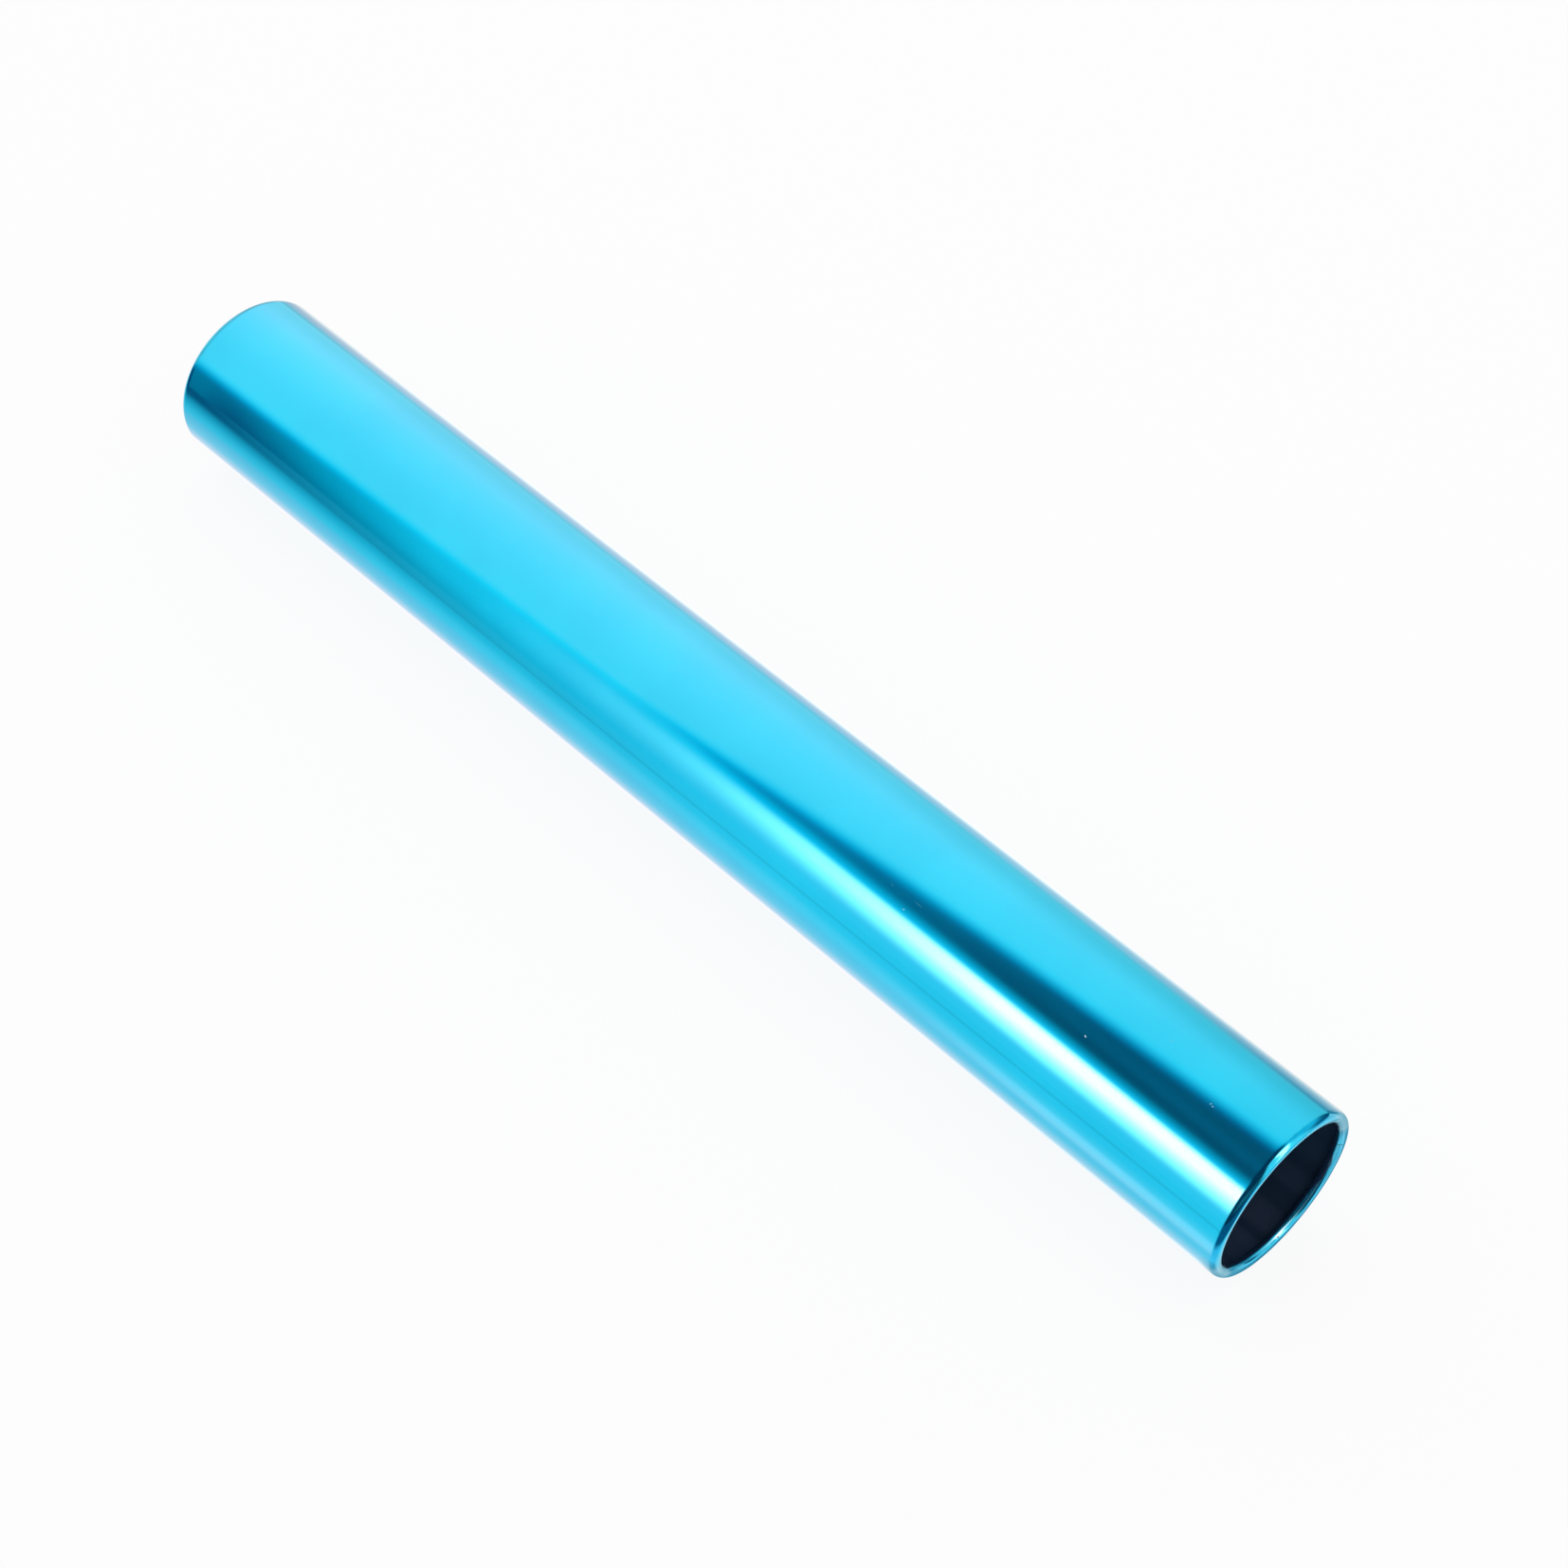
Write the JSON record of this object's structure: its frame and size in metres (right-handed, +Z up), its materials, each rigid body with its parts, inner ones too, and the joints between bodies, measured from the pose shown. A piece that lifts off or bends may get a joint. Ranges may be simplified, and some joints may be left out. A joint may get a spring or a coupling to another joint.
{
  "type": "relay baton",
  "caption": "Light hollow metal tube passed from hand to hand in relay races: straight and round, with its ends rolled inwards into smooth lips.",
  "frame": {"origin": "under the middle of the baton, on the surface that it lies on", "axes": "+X along the baton, +Z up, with the baton lying on its side"},
  "size_m": [0.3, 0.038, 0.038],
  "materials": {
    "anodised_tube": "bright blue anodising over a smoothly drawn surface, glossy with soft streaks"
  },
  "bodies": {
    "root": {"tube": "anodised_tube"}
  },
  "joints": []
}
